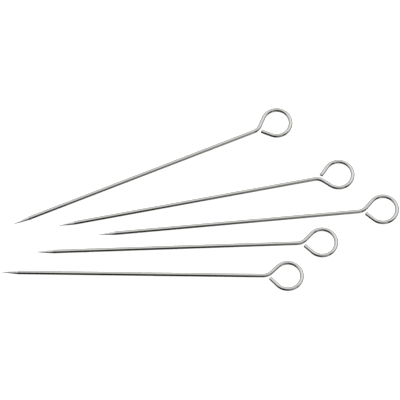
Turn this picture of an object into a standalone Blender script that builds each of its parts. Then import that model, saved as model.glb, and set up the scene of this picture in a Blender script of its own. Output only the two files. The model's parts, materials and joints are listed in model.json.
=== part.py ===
"""A set of five pointed wire needles lying in a fan, each one length of round steel wire.

Each needle is a straight shank, ground to a point at one end and bent into an open round loop at
the other. Metres, +Z up: the needles lie on the plane z = 0, with their points towards -X and
their loops towards +X, and the origin is under the middle of the set.
"""

from collections import namedtuple
from math import cos, pi, radians, sin, tan

import bmesh
import bpy
from mathutils import Matrix, Vector

# Driving dimensions of one needle.
WIRE_DIAMETER = 0.0016
NEEDLE_LENGTH = 0.130  # from the point to the far side of the loop
LOOP_INNER_DIAMETER = 0.0106
NECK_ANGLE = radians(45)  # between the shank's line and the straight run on each side of the loop
NECK_BEND_RADIUS = 0.0052  # at the wire's middle
END_GAP = 0.0007  # clear space between the wire's cut end and the neck
POINT_LENGTH = 0.0075
POINT_DIAMETER = 0.0002  # the small blunt left at the very tip

# Where each needle lies: the place of its point, the way its shank heads from there, and whether
# it is turned over, which puts its cut end on the other side of the shank.
Place = namedtuple("Place", "name point_x point_y heading turned_over")
PLACES = [
    Place("needle_1", -0.0804, -0.0113, radians(22.7), False),
    Place("needle_2", -0.0609, -0.0120, radians(11.2), True),
    Place("needle_3", -0.0437, -0.0161, radians(5.5), False),
    Place("needle_4", -0.0705, -0.0242, radians(2.1), False),
    Place("needle_5", -0.0854, -0.0335, radians(-0.8), False),
]

# How finely the round shapes are cut into flats.
WIRE_SIDES = 16
NECK_STEPS = 8
LOOP_STEPS = 48

STEEL_COLOUR = (0.66, 0.66, 0.64, 1.0)
STEEL_ROUGHNESS = 0.16

# What follows from the driving dimensions, along the wire's middle line. The corner is where the
# lines of the two straight runs beside the loop cross, on the shank's own line.
WIRE_RADIUS = WIRE_DIAMETER / 2
LOOP_RADIUS = LOOP_INNER_DIAMETER / 2 + WIRE_RADIUS
LOOP_CENTRE_X = NEEDLE_LENGTH - WIRE_RADIUS - LOOP_RADIUS
LOOP_SWEEP = pi + 2 * NECK_ANGLE
CORNER_X = LOOP_CENTRE_X - LOOP_RADIUS / sin(NECK_ANGLE)
CORNER_TO_LOOP = LOOP_RADIUS / tan(NECK_ANGLE)
BEND_SETBACK = NECK_BEND_RADIUS * tan(NECK_ANGLE / 2)
BEND_START_X = CORNER_X - BEND_SETBACK
NECK_RUN = CORNER_TO_LOOP - BEND_SETBACK
END_RUN = CORNER_TO_LOOP - WIRE_RADIUS / sin(2 * NECK_ANGLE) - END_GAP


def wire_end(mesh, radius):
    """The wire's first end at the origin, facing -X: a filled outline that has flats above and below."""
    half_side = pi / WIRE_SIDES
    facing_x = Matrix.Rotation(pi / 2, 4, "Y") @ Matrix.Rotation(half_side, 4, "Z")
    made = bmesh.ops.create_circle(
        mesh, cap_ends=True, segments=WIRE_SIDES, radius=radius / cos(half_side), matrix=facing_x
    )
    return list({edge for vertex in made["verts"] for edge in vertex.link_edges})


def run_straight(mesh, outline, step, growth=1.0):
    """The wire carried on by a step from its last outline, which it may widen. Returns the new outline."""
    made = bmesh.ops.extrude_edge_only(mesh, edges=outline)["geom"]
    points = [part for part in made if isinstance(part, bmesh.types.BMVert)]
    bmesh.ops.scale(mesh, vec=Vector((1, growth, growth)), verts=points)
    bmesh.ops.translate(mesh, vec=step, verts=points)
    return [edge for edge in made if isinstance(edge, bmesh.types.BMEdge)]


def bend(mesh, outline, centre, angle, steps):
    """The wire bent flat round a centre, to the left where the angle is positive. Returns the new outline."""
    made = bmesh.ops.spin(
        mesh, geom=outline, cent=centre, axis=(0, 0, 1), angle=angle, steps=steps, use_duplicate=False
    )["geom_last"]
    return [part for part in made if isinstance(part, bmesh.types.BMEdge)]


def needle_mesh():
    """One needle with its point at the origin, its shank along +X, and its wire's middle in z = 0."""
    mesh = bmesh.new()
    outline = wire_end(mesh, POINT_DIAMETER / 2)
    outline = run_straight(mesh, outline, Vector((POINT_LENGTH, 0, 0)), WIRE_DIAMETER / POINT_DIAMETER)
    outline = run_straight(mesh, outline, Vector((BEND_START_X - POINT_LENGTH, 0, 0)))
    outline = bend(mesh, outline, (BEND_START_X, NECK_BEND_RADIUS, 0), NECK_ANGLE, NECK_STEPS)
    outline = run_straight(mesh, outline, Matrix.Rotation(NECK_ANGLE, 3, "Z") @ Vector((NECK_RUN, 0, 0)))
    outline = bend(mesh, outline, (LOOP_CENTRE_X, 0, 0), -LOOP_SWEEP, LOOP_STEPS)
    back_to_corner = Matrix.Rotation(NECK_ANGLE - LOOP_SWEEP, 3, "Z") @ Vector((END_RUN, 0, 0))
    outline = run_straight(mesh, outline, back_to_corner)
    bmesh.ops.contextual_create(mesh, geom=outline)
    bmesh.ops.recalc_face_normals(mesh, faces=mesh.faces)
    made = bpy.data.meshes.new("wire_needle")
    mesh.to_mesh(made)
    mesh.free()
    made.shade_smooth()
    made.set_sharp_from_angle(angle=radians(40))
    return made


def steel():
    material = bpy.data.materials.new("bright_steel_wire")
    material.use_nodes = True
    surface = material.node_tree.nodes["Principled BSDF"]
    surface.inputs["Base Color"].default_value = STEEL_COLOUR
    surface.inputs["Metallic"].default_value = 1.0
    surface.inputs["Roughness"].default_value = STEEL_ROUGHNESS
    return material


def lay_down(place, mesh, table):
    """A needle lying on the table at its place. Turned over, it still rests at the same height."""
    needle = bpy.data.objects.new(place.name, mesh)
    bpy.context.scene.collection.objects.link(needle)
    needle.parent = table
    needle.location = (place.point_x, place.point_y, WIRE_RADIUS)
    needle.rotation_euler = (pi if place.turned_over else 0, 0, place.heading)
    return needle


def centre_under(table, needles):
    """Moves the table, and the needles with it, so that the origin is under the middle of the set."""
    bpy.context.view_layer.update()
    points = [needle.matrix_world @ vertex.co for needle in needles for vertex in needle.data.vertices]
    low = Vector(map(min, zip(*points)))
    high = Vector(map(max, zip(*points)))
    table.location = Vector((-(low.x + high.x) / 2, -(low.y + high.y) / 2, 0))


def main():
    for old in list(bpy.data.objects):
        bpy.data.objects.remove(old)
    table = bpy.data.objects.new("table_top", None)
    bpy.context.scene.collection.objects.link(table)
    mesh = needle_mesh()
    mesh.materials.append(steel())
    needles = [lay_down(place, mesh, table) for place in PLACES]
    centre_under(table, needles)


main()
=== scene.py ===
"""The looks of a set of pointed wire needles: drawn steel, ground points, cut ends and a white table."""

import json
from math import cos, pi, radians, sin, tan

import bmesh
import bpy
from bpy.props import FloatProperty, FloatVectorProperty, IntProperty, PointerProperty
from mathutils import Matrix, Vector


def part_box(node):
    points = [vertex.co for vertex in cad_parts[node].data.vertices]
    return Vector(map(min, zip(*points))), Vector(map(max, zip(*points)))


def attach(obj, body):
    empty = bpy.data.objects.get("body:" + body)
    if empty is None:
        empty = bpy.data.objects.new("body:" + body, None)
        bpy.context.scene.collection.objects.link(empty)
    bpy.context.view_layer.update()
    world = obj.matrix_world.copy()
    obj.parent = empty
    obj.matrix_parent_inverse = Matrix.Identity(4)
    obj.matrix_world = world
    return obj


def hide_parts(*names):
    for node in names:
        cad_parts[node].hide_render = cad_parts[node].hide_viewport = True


bl_info = {
    "name": "Wire Needles",
    "version": (1, 0, 0),
    "blender": (4, 5, 0),
    "location": "View3D > Sidebar > Needles",
    "description": "Bends, points and finishes a set of steel wire needles with looped ends",
    "category": "Object",
}

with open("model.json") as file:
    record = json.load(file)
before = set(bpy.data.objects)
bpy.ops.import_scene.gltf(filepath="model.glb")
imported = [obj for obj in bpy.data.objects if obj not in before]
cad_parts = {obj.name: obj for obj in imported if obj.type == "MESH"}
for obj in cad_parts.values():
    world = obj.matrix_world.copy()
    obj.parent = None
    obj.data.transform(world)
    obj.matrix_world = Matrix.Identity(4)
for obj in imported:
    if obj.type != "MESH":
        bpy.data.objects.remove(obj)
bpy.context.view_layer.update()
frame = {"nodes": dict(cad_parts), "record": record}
NEEDLES = sorted(frame["nodes"])
CAD_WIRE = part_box(NEEDLES[0])[1].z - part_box(NEEDLES[0])[0].z
CAD_SIDES = 16  # sides of a CAD needle's outline
STRAIGHTENED = "straightened_wire"  # where each point of a needle would be if its wire were straight

# The outlines that the wire is made through.
TIP_OUTLINES = (15, 40, 65)  # degrees round the tip's rounding
TAPER_OUTLINES = (0, 0.03, 0.08, 0.16, 0.28, 0.42, 0.57, 0.72, 0.84)  # shares of the taper's length
SHOULDER_STEPS = 6
SHANK_STEPS = 30
SHORT_RUN_STEPS = 4
END_STEPS = 4
CAP_SHARE = 0.55  # the inner outline on the cut end's flat, as a share of the outer one
SHARP_ANGLE = radians(50)

# Grains of each pattern to a metre of wire, along it and across it.
DRAWING_LINES = (60, 9000, 9000)
TONE_PATCHES = (120, 500, 500)
GRINDING_RINGS = (14000, 900, 900)

# The steel's finish.
DARK_TONE = (0.93, 0.93, 0.925)  # shares of the drawn wire's colour
LIGHT_TONE = (1.07, 1.07, 1.075)
SHOULDER_WANDER = 0.0012  # how far the ground taper's edge wanders along the wire
SHOULDER_EDGE = (0.0001, 0.0005)  # where that edge starts and ends, past the point's length
CUT_EDGE = (0.9, 0.1)  # where the cut end's finish starts and ends, in end roundings from the end
LINES_RANGE = (0.3, 0.7)  # the part of the drawing lines' noise that changes the roughness
LINES_ROUGHNESS = (0.75, 1.3)  # the roughness there, in shares of the drawn wire's

# The light.
CEILING_FADE = (-0.88, 0.68)  # heights on a unit ball where the walls are dark and fully lit
SOFTBOX_EDGE = (0.7, 1.3)  # the softbox's soft edge, in shares of its spread


class NeedleSizes(bpy.types.PropertyGroup):
    wire_diameter: FloatProperty(
        name="Wire diameter", description="Across the round wire", default=CAD_WIRE, unit="LENGTH"
    )
    length: FloatProperty(
        name="Needle length",
        description="From the point to the far side of the loop",
        default=0.130,
        unit="LENGTH",
    )
    loop_inner_diameter: FloatProperty(
        name="Loop inside", description="Across the inside of the loop", default=0.0106, unit="LENGTH"
    )
    neck_angle: FloatProperty(
        name="Neck angle",
        description="Between the shank's line and the straight wire on each side of the loop",
        default=radians(45),
        subtype="ANGLE",
    )
    neck_bend_radius: FloatProperty(
        name="Neck bend",
        description="Bend radius at the wire's middle, at the neck",
        default=0.0052,
        unit="LENGTH",
    )
    end_gap: FloatProperty(
        name="End gap",
        description="Clear space between the cut end and the neck",
        default=0.0007,
        unit="LENGTH",
    )
    point_length: FloatProperty(
        name="Point length", description="Length of the ground taper", default=0.0075, unit="LENGTH"
    )
    point_diameter: FloatProperty(
        name="Tip diameter",
        description="Across the rounded tip of the point",
        default=0.0002,
        unit="LENGTH",
    )
    shoulder: FloatProperty(
        name="Shoulder",
        description="Length over which the taper blends into the shank",
        default=0.0012,
        unit="LENGTH",
    )
    end_rounding: FloatProperty(
        name="End rounding",
        description="Rounding of the cut end's edge",
        default=0.00016,
        unit="LENGTH",
    )
    sides: IntProperty(
        name="Sides", description="Sides of the round wire's outline", default=48, min=8, max=128
    )
    loop_steps: IntProperty(
        name="Loop steps", description="Steps along the loop's bend", default=108, min=24
    )


class SteelFinish(bpy.types.PropertyGroup):
    colour: FloatVectorProperty(
        name="Steel colour",
        description="Colour of the drawn wire",
        subtype="COLOR",
        size=3,
        default=(0.56, 0.56, 0.54),
    )
    ground_colour: FloatVectorProperty(
        name="Ground colour",
        description="Colour of the freshly ground taper and the cut end",
        subtype="COLOR",
        size=3,
        default=(0.78, 0.78, 0.77),
    )
    drawn_roughness: FloatProperty(
        name="Shank roughness",
        description="Roughness of the drawn and polished wire",
        default=0.13,
        min=0,
        max=1,
    )
    ground_roughness: FloatProperty(
        name="Point roughness",
        description="Roughness of the ground taper and the cut end",
        default=0.45,
        min=0,
        max=1,
    )
    drawing_depth: FloatProperty(
        name="Drawing lines",
        description="Depth of the lines along the wire",
        default=0.000005,
        unit="LENGTH",
    )
    drawing_strength: FloatProperty(
        name="Line strength",
        description="How strongly the lines along the wire show",
        default=0.6,
        min=0,
        max=1,
    )
    grinding_depth: FloatProperty(
        name="Grinding rings",
        description="Depth of the rings on ground steel",
        default=0.000012,
        unit="LENGTH",
    )


class StageSettings(bpy.types.PropertyGroup):
    view_elevation: FloatProperty(
        name="View elevation",
        description="How far above the table the camera looks from",
        default=radians(67.5),
        subtype="ANGLE",
    )
    view_width: FloatProperty(
        name="View width",
        description="Width of table across the middle of the picture",
        default=0.1724,
        unit="LENGTH",
    )
    view_middle: FloatVectorProperty(
        name="View middle",
        description="Where the camera looks, on the table",
        subtype="TRANSLATION",
        unit="LENGTH",
        size=2,
        default=(-0.00015, -0.0005),
    )
    focal_length: FloatProperty(
        name="Focal length", description="The camera's lens, in millimetres", default=600
    )
    table_size: FloatProperty(
        name="Table size", description="Side of the square white table", default=24, unit="LENGTH"
    )
    table_gap: FloatProperty(
        name="Table gap",
        description="Clear space between the needles and the table",
        default=0.00002,
        unit="LENGTH",
    )
    table_colour: FloatVectorProperty(
        name="Table colour",
        description="Colour of the table top",
        subtype="COLOR",
        size=3,
        default=(0.9, 0.9, 0.89),
    )
    table_roughness: FloatProperty(
        name="Table roughness", description="Roughness of the table top", default=0.8, min=0, max=1
    )
    table_glow: FloatProperty(
        name="Table glow", description="How brightly the table is lit from below", default=0.75
    )
    ceiling_light: FloatProperty(
        name="Ceiling light", description="Brightness of the white ceiling", default=1.06
    )
    opening_bearing: FloatProperty(
        name="Opening bearing",
        description="Bearing of the dark opening's middle, turned from +X towards +Y",
        default=radians(267),
        subtype="ANGLE",
    )
    opening_elevation: FloatProperty(
        name="Opening height",
        description="Height of the dark opening's middle",
        default=radians(1.6),
        subtype="ANGLE",
    )
    opening_inner: FloatProperty(
        name="Opening",
        description="From the opening's middle to the end of its full dark",
        default=radians(48),
        subtype="ANGLE",
    )
    opening_outer: FloatProperty(
        name="Opening edge",
        description="From the opening's middle to the full light",
        default=radians(82),
        subtype="ANGLE",
    )
    opening_light: FloatProperty(
        name="Opening light",
        description="Share of the light left in the opening",
        default=0.03,
        min=0,
        max=1,
    )
    softbox_bearing: FloatProperty(
        name="Softbox bearing",
        description="Bearing of the softbox's middle, turned from +X towards +Y",
        default=radians(55),
        subtype="ANGLE",
    )
    softbox_elevation: FloatProperty(
        name="Softbox height",
        description="Height of the softbox's middle",
        default=radians(58),
        subtype="ANGLE",
    )
    softbox_spread: FloatProperty(
        name="Softbox spread",
        description="From the softbox's middle to its edge",
        default=radians(15),
        subtype="ANGLE",
    )
    softbox_light: FloatProperty(
        name="Softbox light", description="How much brighter the softbox is than the ceiling", default=0.6
    )
    strip_lights: IntProperty(
        name="Strip lights", description="Number of upright strips at the front right", default=6
    )
    strip_corner: FloatVectorProperty(
        name="Strips' place",
        description="Middle height of the row of strips, at its left end",
        subtype="TRANSLATION",
        unit="LENGTH",
        size=3,
        default=(0.02, -0.13, 0.02),
    )
    strip_width: FloatProperty(
        name="Strip width", description="Width of one strip", default=0.02, unit="LENGTH"
    )
    strip_height: FloatProperty(
        name="Strip height", description="Height of one strip", default=0.25, unit="LENGTH"
    )
    strip_light: FloatProperty(
        name="Strip light", description="Brightness of the last and brightest strip", default=0.6
    )


# The wire


def wire_start(mesh, rest, sides, radius):
    """A capped round outline at the origin, facing along X, that remembers its place."""
    facing_x = Matrix.Rotation(pi / 2, 4, "Y")
    made = bmesh.ops.create_circle(mesh, cap_ends=True, segments=sides, radius=radius, matrix=facing_x)
    for vertex in made["verts"]:
        vertex[rest] = vertex.co
    return list(mesh.edges)


def points_of(outline):
    """An outline's points, each once and always in the same order."""
    return list(dict.fromkeys(vertex for edge in outline for vertex in edge.verts))


def mark_distance(rest, outline, distance):
    """Writes on an outline's points how far along the straightened wire they are."""
    for vertex in points_of(outline):
        vertex[rest].x = distance


def centre_of(places):
    return sum(places, Vector()) / len(places)


def run_on(mesh, rest, outline, step, distance, growth=1.0):
    """Carries the wire on by a step, which may widen or narrow it. Returns the new outline."""
    made = bmesh.ops.extrude_edge_only(mesh, edges=outline)["geom"]
    outline = [part for part in made if isinstance(part, bmesh.types.BMEdge)]
    points = points_of(outline)
    middle = Matrix.Translation(-centre_of([point.co for point in points]))
    bmesh.ops.scale(mesh, vec=Vector((growth, growth, growth)), space=middle, verts=points)
    bmesh.ops.translate(mesh, vec=step, verts=points)
    mark_distance(rest, outline, distance)
    return outline


def straight(mesh, rest, outline, direction, length, distance, steps):
    """Carries the wire straight on. Returns the last outline and its place along the wire."""
    for step in range(steps):
        distance += length / steps
        outline = run_on(mesh, rest, outline, direction * length / steps, distance)
    return outline, distance


def bend(mesh, rest, outline, centre, angle, radius, distance, steps):
    """Bends the wire flat round a centre, to the left where the angle is positive.

    Returns the last outline and its place along the wire.
    """
    turn = {"cent": centre, "axis": (0, 0, 1), "angle": angle / steps, "steps": 1, "use_duplicate": False}
    for step in range(steps):
        made = bmesh.ops.spin(mesh, geom=outline, **turn)["geom_last"]
        outline = [part for part in made if isinstance(part, bmesh.types.BMEdge)]
        distance += abs(angle) / steps * radius
        mark_distance(rest, outline, distance)
    return outline, distance


def taper_radius(sizes, along):
    """The ground point's radius: a straight taper that eases into the shank at its shoulder."""
    wire = sizes.wire_diameter / 2
    tip = sizes.point_diameter / 2
    plain = tip + (wire - tip) * along / sizes.point_length
    half = sizes.shoulder / 2
    past = along - (sizes.point_length - half)
    if past <= 0:
        return plain
    share = min(past / sizes.shoulder, 1)
    slope = (wire - tip) / sizes.point_length
    start = tip + (wire - tip) * (sizes.point_length - half) / sizes.point_length
    return start + slope * sizes.shoulder * (share - share * share / 2)


def ground_point(mesh, rest, sizes):
    """The rounded tip and the taper, from the origin along +X. Returns the last outline and its place."""
    tip = sizes.point_diameter / 2
    half = sizes.shoulder / 2
    body = sizes.point_length + half - tip
    rounds = [(tip * (1 - cos(angle)), tip * sin(angle)) for angle in map(radians, TIP_OUTLINES)]
    along = [tip + body * share for share in TAPER_OUTLINES]
    shares = [step / SHOULDER_STEPS for step in range(SHOULDER_STEPS + 1)]
    along += [sizes.point_length - half + sizes.shoulder * share for share in shares]
    stations = rounds + [(x, taper_radius(sizes, x)) for x in along]
    start, radius = stations[0]
    outline = wire_start(mesh, rest, sizes.sides, radius)
    for vertex in points_of(outline):
        vertex[rest] = vertex.co * (sizes.wire_diameter / 2 / radius)
    bmesh.ops.translate(mesh, vec=Vector((start, 0, 0)), verts=points_of(outline))
    mark_distance(rest, outline, start)
    for (before, small), (after, large) in zip(stations, stations[1:]):
        outline = run_on(mesh, rest, outline, Vector((after - before, 0, 0)), after, large / small)
    return outline, stations[-1][0]


def cut_end(mesh, rest, outline, direction, sizes, distance):
    """Rounds the cut end's edge over and closes it."""
    wire = sizes.wire_diameter / 2
    soft = sizes.end_rounding
    before_x, before_r = 0.0, wire
    for step in range(END_STEPS):
        angle = pi / 2 * (step + 1) / END_STEPS
        x, r = soft * sin(angle), wire - soft * (1 - cos(angle))
        outline = run_on(mesh, rest, outline, direction * (x - before_x), distance + x, r / before_r)
        before_x, before_r = x, r
    inner = run_on(mesh, rest, outline, Vector(), distance + soft, CAP_SHARE)
    bmesh.ops.contextual_create(mesh, geom=inner)


def loop_sizes(sizes):
    """The loop's radius at the wire's middle, and the lengths that follow from it.

    The lines of the shank and of the straight runs on each side of the loop meet at one corner. to_loop
    is from it to where a run meets the loop, to_middle to the loop's middle, and setback to each end of
    the neck's bend. end_run is the length of the last run.
    """
    wire = sizes.wire_diameter / 2
    radius = sizes.loop_inner_diameter / 2 + wire
    to_loop = radius / tan(sizes.neck_angle)
    to_middle = radius / sin(sizes.neck_angle)
    setback = sizes.neck_bend_radius * tan(sizes.neck_angle / 2)
    end_run = to_loop - wire / sin(2 * sizes.neck_angle) - sizes.end_gap
    return radius, to_loop, to_middle, setback, end_run


def bend_needle(sizes):
    """One needle in a bmesh: its point at the origin, its shank along +X and its wire's middle in z = 0."""
    mesh = bmesh.new()
    rest = mesh.verts.layers.float_vector.new(STRAIGHTENED)
    neck = sizes.neck_angle
    bend_radius = sizes.neck_bend_radius
    radius, to_loop, to_middle, setback, end_run = loop_sizes(sizes)
    loop_middle = Vector((sizes.length - sizes.wire_diameter / 2 - radius, 0, 0))
    bend_start = loop_middle.x - to_middle - setback
    outline, distance = ground_point(mesh, rest, sizes)
    shank = bend_start - distance
    outline, distance = straight(mesh, rest, outline, Vector((1, 0, 0)), shank, distance, SHANK_STEPS)
    bend_middle = Vector((bend_start, bend_radius, 0))
    sweep = pi + 2 * neck
    steps = round(sizes.loop_steps * neck / sweep)
    outline, distance = bend(mesh, rest, outline, bend_middle, neck, bend_radius, distance, steps)
    up_neck = Vector((cos(neck), sin(neck), 0))
    run = to_loop - setback
    outline, distance = straight(mesh, rest, outline, up_neck, run, distance, SHORT_RUN_STEPS)
    outline, distance = bend(mesh, rest, outline, loop_middle, -sweep, radius, distance, sizes.loop_steps)
    to_corner = Vector((cos(neck - sweep), sin(neck - sweep), 0))
    run = end_run - sizes.end_rounding
    outline, distance = straight(mesh, rest, outline, to_corner, run, distance, SHORT_RUN_STEPS)
    cut_end(mesh, rest, outline, to_corner, sizes, distance)
    bmesh.ops.recalc_face_normals(mesh, faces=mesh.faces)
    return mesh


def wire_length(sizes):
    """Length of wire in one needle, along its middle."""
    radius, to_loop, to_middle, setback, end_run = loop_sizes(sizes)
    shank = sizes.length - sizes.wire_diameter / 2 - radius - to_middle - setback
    neck = sizes.neck_bend_radius * sizes.neck_angle + to_loop - setback
    loop = radius * (pi + 2 * sizes.neck_angle)
    return shank + neck + loop + end_run


# Places


def middle_of_loop(needle):
    """The middle of a needle's loop, from the opening that the record states in it."""
    stated = frame["record"]["physics"]["openings"]
    low, high = next(opening["box_m"] for opening in stated if opening["name"] == needle + "_loop")
    return (Vector(low) + Vector(high)) / 2


def outlines_from_point(needle):
    """The middles of a CAD needle's first four outlines, counted from its point."""
    loop = middle_of_loop(needle)
    points = {vertex.co.to_tuple(7) for vertex in frame["nodes"][needle].data.vertices}
    points = [Vector(point) for point in points]
    tip = max(points, key=lambda point: (point - loop).length)
    points.sort(key=lambda point: (point - tip).length)
    groups = (points[start : start + CAD_SIDES] for start in range(0, 4 * CAD_SIDES, CAD_SIDES))
    return [centre_of(group) for group in groups]


def place_of(needle):
    """Where a needle lies: the transform from one with its point at the origin and its shank along +X."""
    tip, _, bend_start, neck = outlines_from_point(needle)
    heading = (bend_start - tip).normalized()
    turned_over = heading.cross(neck - bend_start).z < 0
    turn = Matrix.Rotation(heading.xy.angle_signed(Vector((1, 0))), 4, "Z")
    return Matrix.Translation(tip) @ turn @ Matrix.Rotation(pi if turned_over else 0, 4, "X")


# Materials


def new_material(name):
    material = bpy.data.materials.new(name)
    material.use_nodes = True
    return material, material.node_tree, material.node_tree.nodes["Principled BSDF"]


def node(tree, kind, **values):
    """A shader node with its properties and its named inputs set."""
    made = tree.nodes.new("ShaderNode" + kind)
    for name, value in values.items():
        if hasattr(made, name):
            setattr(made, name, value)
        else:
            made.inputs[name.replace("_", " ")].default_value = value
    return made


def feed(tree, socket, given):
    """Gives a socket a value, or links it to another node's output."""
    if isinstance(given, bpy.types.NodeSocket):
        tree.links.new(given, socket)
    else:
        socket.default_value = given


def graded(tree, value, of, to, kind="SMOOTHSTEP"):
    """A step from one value to another while the input goes from one value to another."""
    step = node(tree, "MapRange", interpolation_type=kind)
    for name, amount in zip(("From Min", "From Max", "To Min", "To Max"), (*of, *to)):
        step.inputs[name].default_value = amount
    tree.links.new(value, step.inputs["Value"])
    return step.outputs[0]


def reckoned(tree, operation, *values):
    """Arithmetic on values, each a number or another node's output."""
    made = node(tree, "Math", operation=operation)
    for socket, given in zip(made.inputs, values):
        feed(tree, socket, given)
    return made.outputs[0]


def mixed(tree, kind, factor, first, second):
    """A mix of two colours or numbers, each a value or another node's output."""
    mix = node(tree, "Mix", data_type=kind)
    for name, given in (("Factor", factor), ("A", first), ("B", second)):
        feed(tree, mix.inputs[name], given)
    return mix.outputs["Result"]


def pattern(tree, wire, grains, detail, roughness):
    """A noise on the straightened wire, with its grains to a metre along and across it."""
    place = node(tree, "Mapping", vector_type="POINT", Scale=grains)
    tree.links.new(wire, place.inputs["Vector"])
    noise = node(tree, "TexNoise", Scale=1.0, Detail=detail, Roughness=roughness)
    tree.links.new(place.outputs[0], noise.inputs["Vector"])
    return noise.outputs["Fac"]


def steel_wire(finish, sizes):
    """Drawn steel, with fine lines along the wire, and a duller, paler ground point and cut end."""
    material, tree, surface = new_material("bright_drawn_steel")
    link = tree.links.new
    surface.inputs["Metallic"].default_value = 1.0
    wire = node(tree, "Attribute", attribute_name=STRAIGHTENED).outputs["Vector"]
    along = node(tree, "SeparateXYZ")
    link(wire, along.inputs[0])
    lines = pattern(tree, wire, DRAWING_LINES, 3.0, 0.6)
    tone = pattern(tree, wire, TONE_PATCHES, 2.0, 0.5)
    rings = pattern(tree, wire, GRINDING_RINGS, 2.0, 0.6)

    # 1 on the ground taper and on the cut end, with an uneven edge at the shoulder.
    wandering = reckoned(tree, "MULTIPLY_ADD", tone, SHOULDER_WANDER, along.outputs["X"])
    shoulder = [sizes.point_length + past for past in SHOULDER_EDGE]
    tapered = graded(tree, wandering, shoulder, (1.0, 0.0))
    cut = [wire_length(sizes) - sizes.end_rounding * share for share in CUT_EDGE]
    ended = graded(tree, along.outputs["X"], cut, (0.0, 1.0))
    worked = reckoned(tree, "MAXIMUM", tapered, ended)

    dark = [part * share for part, share in zip(finish.colour, DARK_TONE)]
    light = [part * share for part, share in zip(finish.colour, LIGHT_TONE)]
    drawn_colour = mixed(tree, "RGBA", tone, (*dark, 1), (*light, 1))
    colour = mixed(tree, "RGBA", worked, drawn_colour, (*finish.ground_colour, 1))
    link(colour, surface.inputs["Base Color"])

    shine = [finish.drawn_roughness * share for share in LINES_ROUGHNESS]
    drawn = graded(tree, lines, LINES_RANGE, shine, kind="LINEAR")
    roughness = mixed(tree, "FLOAT", worked, drawn, finish.ground_roughness)
    link(roughness, surface.inputs["Roughness"])

    drawing = node(tree, "Bump", Strength=finish.drawing_strength, Distance=finish.drawing_depth)
    link(lines, drawing.inputs["Height"])
    grinding = node(tree, "Bump", Distance=finish.grinding_depth)
    link(worked, grinding.inputs["Strength"])
    link(rings, grinding.inputs["Height"])
    link(drawing.outputs["Normal"], grinding.inputs["Normal"])
    link(grinding.outputs["Normal"], surface.inputs["Normal"])
    return material


def table_top(stage):
    """A white top, lit evenly from below."""
    material, tree, surface = new_material("white_table_top")
    surface.inputs["Base Color"].default_value = (*stage.table_colour, 1)
    surface.inputs["Roughness"].default_value = stage.table_roughness
    surface.inputs["Emission Color"].default_value = (1, 1, 1, 1)
    surface.inputs["Emission Strength"].default_value = stage.table_glow
    return material


# Light


def towards(bearing, height):
    """The direction of a bearing, turned from +X towards +Y, and a height, both as angles."""
    return cos(height) * cos(bearing), cos(height) * sin(bearing), sin(height)


def round_patch(tree, view, middle, inner, outer, inside, outside):
    """A round patch of the surroundings, with one value inside it that fades to another outside it."""
    facing = node(tree, "VectorMath", operation="DOT_PRODUCT")
    facing.inputs[1].default_value = middle
    tree.links.new(view, facing.inputs[0])
    return graded(tree, facing.outputs["Value"], (cos(outer), cos(inner)), (outside, inside))


def soft_surroundings(stage):
    """A white ceiling that fades down the walls, a dark opening in front and a softbox behind the table."""
    world = bpy.data.worlds.new("soft_studio")
    world.use_nodes = True
    tree = world.node_tree
    view = node(tree, "TexCoord").outputs["Generated"]
    upward = node(tree, "SeparateXYZ")
    tree.links.new(view, upward.inputs[0])
    ceiling = graded(tree, upward.outputs["Z"], CEILING_FADE, (0.0, stage.ceiling_light))
    place = towards(stage.opening_bearing, stage.opening_elevation)
    inner, outer = stage.opening_inner, stage.opening_outer
    passed = round_patch(tree, view, place, inner, outer, stage.opening_light, 1.0)
    place = towards(stage.softbox_bearing, stage.softbox_elevation)
    inner, outer = (stage.softbox_spread * share for share in SOFTBOX_EDGE)
    softbox = round_patch(tree, view, place, inner, outer, stage.softbox_light, 0.0)
    light = reckoned(tree, "ADD", reckoned(tree, "MULTIPLY", ceiling, passed), softbox)
    tree.links.new(light, tree.nodes["Background"].inputs["Strength"])
    tree.nodes["Background"].inputs["Color"].default_value = (1, 1, 1, 1)
    return world


def strip_lights(scene, stage):
    """A row of upright strips at the front right, each brighter than the one to its left."""
    area = stage.strip_width * stage.strip_height
    for count in range(stage.strip_lights):
        data = bpy.data.lights.new(f"strip_light_{count + 1}", "AREA")
        data.shape = "RECTANGLE"
        data.size = stage.strip_width
        data.size_y = stage.strip_height
        data.energy = stage.strip_light * (count + 1) / stage.strip_lights * pi * area
        strip = bpy.data.objects.new(data.name, data)
        strip.location = Vector(stage.strip_corner) + Vector((stage.strip_width * (count + 0.5), 0, 0))
        strip.rotation_euler = (pi / 2, 0, 0)
        strip.visible_camera = False
        scene.collection.objects.link(strip)


# Operators


class NEEDLES_OT_bend_wires(bpy.types.Operator):
    """Makes every needle from round wire, with its ground point, its loop and its cut end"""

    bl_idname = "needles.bend_wires"
    bl_label = "Needles"

    def execute(self, context):
        sizes = context.scene.needle_sizes
        steel = steel_wire(context.scene.steel_finish, sizes)
        for name in NEEDLES:
            shaped = bend_needle(sizes)
            bmesh.ops.transform(shaped, matrix=place_of(name), verts=shaped.verts)
            made = bpy.data.meshes.new(name + "_wire")
            shaped.to_mesh(made)
            shaped.free()
            made.shade_smooth()
            made.set_sharp_from_angle(angle=SHARP_ANGLE)
            made.materials.append(steel)
            wire = bpy.data.objects.new(name + "_wire", made)
            context.scene.collection.objects.link(wire)
            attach(wire, name)
            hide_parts(name)
        return {"FINISHED"}


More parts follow.
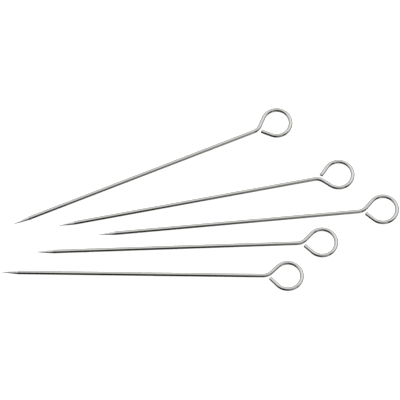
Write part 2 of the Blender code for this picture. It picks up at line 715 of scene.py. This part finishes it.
class NEEDLES_OT_set_stage(bpy.types.Operator):
    """Lays the white table and sets up the soft light round it"""

    bl_idname = "needles.set_stage"
    bl_label = "Table and light"

    def execute(self, context):
        stage = context.scene.stage_settings
        shaped = bmesh.new()
        bmesh.ops.create_grid(shaped, x_segments=1, y_segments=1, size=stage.table_size / 2)
        made = bpy.data.meshes.new("white_table")
        shaped.to_mesh(made)
        shaped.free()
        made.materials.append(table_top(stage))
        table = bpy.data.objects.new("white_table", made)
        table.location.z = -stage.table_gap
        table.visible_glossy = False
        context.scene.collection.objects.link(table)
        context.scene.world = soft_surroundings(stage)
        strip_lights(context.scene, stage)
        return {"FINISHED"}


class NEEDLES_OT_place_camera(bpy.types.Operator):
    """Looks down on the needles from the front, from far away"""

    bl_idname = "needles.place_camera"
    bl_label = "Camera"

    def execute(self, context):
        stage = context.scene.stage_settings
        data = bpy.data.cameras.new("camera")
        data.lens = stage.focal_length
        distance = stage.view_width * data.lens / data.sensor_width
        data.clip_start = distance / 100
        data.clip_end = distance * 10
        camera = bpy.data.objects.new("camera", data)
        context.scene.collection.objects.link(camera)
        tilt = stage.view_elevation
        middle = Vector((*stage.view_middle, CAD_WIRE / 2))
        camera.location = middle + Vector((0, -cos(tilt), sin(tilt))) * distance
        camera.rotation_euler = (pi / 2 - tilt, 0, 0)
        context.scene.camera = camera
        context.scene.view_settings.view_transform = "Standard"
        return {"FINISHED"}


class NEEDLES_PT_panel(bpy.types.Panel):
    bl_label = "Wire Needles"
    bl_idname = "NEEDLES_PT_panel"
    bl_space_type = "VIEW_3D"
    bl_region_type = "UI"
    bl_category = "Needles"

    def draw(self, context):
        for group in (context.scene.needle_sizes, context.scene.steel_finish, context.scene.stage_settings):
            box = self.layout.box()
            for name in group.__annotations__:
                box.prop(group, name)
        for operator in OPERATORS:
            self.layout.operator(operator.bl_idname)


GROUPS = {"needle_sizes": NeedleSizes, "steel_finish": SteelFinish, "stage_settings": StageSettings}
OPERATORS = (NEEDLES_OT_bend_wires, NEEDLES_OT_set_stage, NEEDLES_OT_place_camera)


def register():
    for kind in (*GROUPS.values(), *OPERATORS, NEEDLES_PT_panel):
        bpy.utils.register_class(kind)
    for name, group in GROUPS.items():
        setattr(bpy.types.Scene, name, PointerProperty(type=group))


def unregister():
    for name in GROUPS:
        delattr(bpy.types.Scene, name)
    for kind in reversed((*GROUPS.values(), *OPERATORS, NEEDLES_PT_panel)):
        bpy.utils.unregister_class(kind)


def main():
    register()
    bpy.ops.needles.bend_wires()
    bpy.ops.needles.set_stage()
    bpy.ops.needles.place_camera()


if __name__ == "__main__":
    main()
